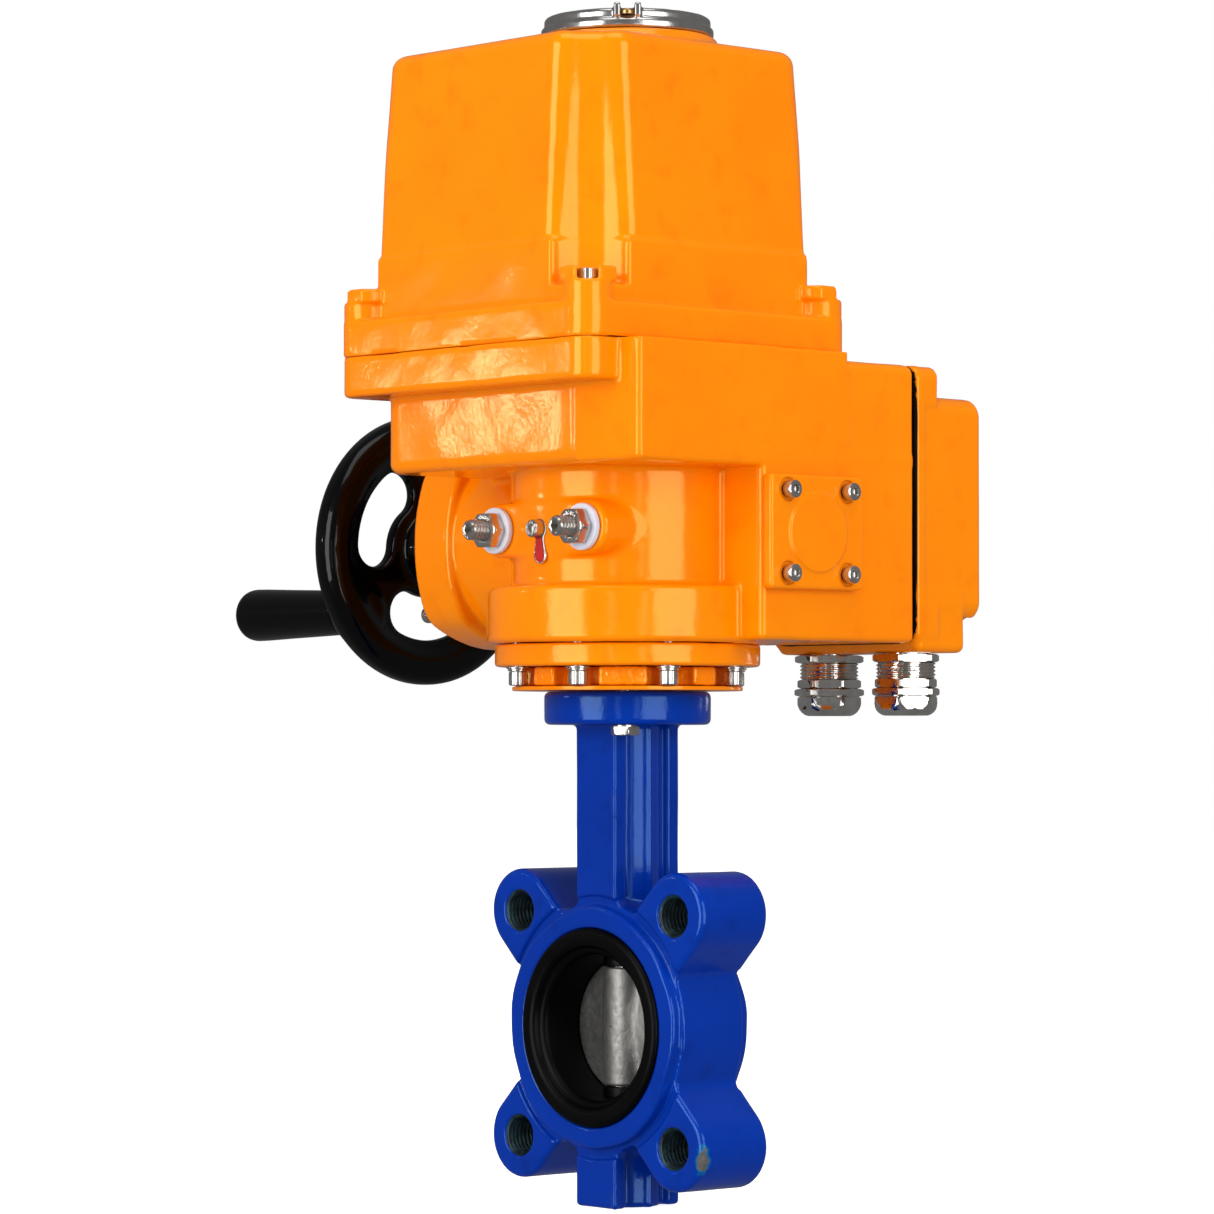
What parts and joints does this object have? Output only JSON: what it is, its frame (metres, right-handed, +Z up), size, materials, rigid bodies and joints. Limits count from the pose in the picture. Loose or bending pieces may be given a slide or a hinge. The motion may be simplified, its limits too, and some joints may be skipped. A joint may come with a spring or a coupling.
{
  "type": "motorized valve actuator",
  "caption": "Electric quarter-turn actuator with handwheel, cable glands and position glass, mounted on a DN50 lug butterfly valve.",
  "frame": {"origin": "middle of the closed disc, where the stem axis crosses the pipe axis", "axes": "+Z up the stem, +Y along the pipe towards the terminal cover's side, +X along the worm shaft away from the handwheel"},
  "size_m": [0.3092, 0.203, 0.4638],
  "materials": {
    "blue_enamel": "gloss enamel over cast iron",
    "orange_enamel": "gloss enamel over cast aluminium, fine orange peel",
    "stainless": "bright stainless",
    "cast_stainless": "as-cast stainless, satin",
    "black_rubber": "satin rubber",
    "bronze": "machined bronze",
    "motor_steel": "satin grey",
    "white_nylon": "satin nylon",
    "black_gloss": "smooth gloss black",
    "polished_ring": "polished cast ring",
    "nickel": "bright nickel plating",
    "sight_glass": "clear",
    "dial": "satin yellow",
    "switch_plastic": "satin green"
  },
  "bodies": {
    "root": {"valve_body": "blue_enamel", "adapter_shim": "orange_enamel", "adapter_plate": "orange_enamel", "base_ring": "orange_enamel", "gear_housing": "orange_enamel", "bearing_cap": "orange_enamel", "top_cover": "orange_enamel", "terminal_cover": "orange_enamel", "flange_bolt_1": "stainless", "flange_bolt_2": "stainless", "base_screw_1": "stainless", "base_screw_2": "stainless", "base_screw_3": "stainless", "base_screw_4": "stainless", "base_screw_5": "stainless", "base_screw_6": "stainless", "base_screw_7": "stainless", "base_screw_8": "stainless", "cap_screw_1": "stainless", "cap_screw_2": "stainless", "cap_screw_3": "stainless", "cap_screw_4": "stainless", "cover_screw_1": "stainless", "cover_screw_2": "stainless", "cover_screw_3": "stainless", "cover_screw_4": "stainless", "stopper_bolt_1": "stainless", "stopper_bolt_2": "stainless", "stopper_nut_1": "stainless", "stopper_nut_2": "stainless", "earth_screw": "stainless", "worm_bearing_left": "stainless", "worm_bearing_right": "stainless", "mounting_plate": "stainless", "valve_seat": "black_rubber", "cover_gasket": "black_rubber", "terminal_gasket": "black_rubber", "stem_bush": "bronze", "motor": "motor_steel", "stopper_seal_1": "white_nylon", "stopper_seal_2": "white_nylon", "terminal_block": "white_nylon", "sight_ring": "polished_ring", "cable_gland_1": "nickel", "cable_gland_2": "nickel", "sight_glass": "sight_glass", "switch_block": "switch_plastic"},
    "output_drive": {"valve_disc": "cast_stainless", "valve_stem": "stainless", "drive_sleeve": "stainless", "worm_wheel": "bronze", "cam_shaft": "stainless", "indicator_dial": "dial"},
    "worm": {"worm_shaft": "stainless", "handwheel": "black_gloss", "handle_bolt": "stainless"},
    "motor_rotor": {"motor_pinion": "stainless"},
    "crank_handle": {"handle_grip": "black_gloss"}
  },
  "joints": [
    {"name": "worm_turn", "type": "hinge", "parent": "root", "child": "worm", "pos_m": [-0.161, 0.0325, 0.191], "axis": [1, 0, 0], "range_deg": [-3600, 0]},
    {"name": "quarter_turn", "type": "hinge", "parent": "root", "child": "output_drive", "pos_m": [0, 0, 0], "axis": [0, 0, 1], "range_deg": [0, 90]},
    {"name": "motor_turn", "type": "hinge", "parent": "root", "child": "motor_rotor", "pos_m": [0.0455, 0.05318, 0.20836], "axis": [1, 0, 0], "range_deg": [0, 7200]},
    {"name": "handle_spin", "type": "hinge", "parent": "worm", "child": "crank_handle", "pos_m": [-0.2, -0.0028, 0.1644], "axis": [1, 0, 0], "continuous": true}
  ],
  "couplings": [
    {"joint": "quarter_turn", "follows": "worm_turn", "ratio": -0.025},
    {"joint": "motor_turn", "follows": "worm_turn", "ratio": -2}
  ]
}
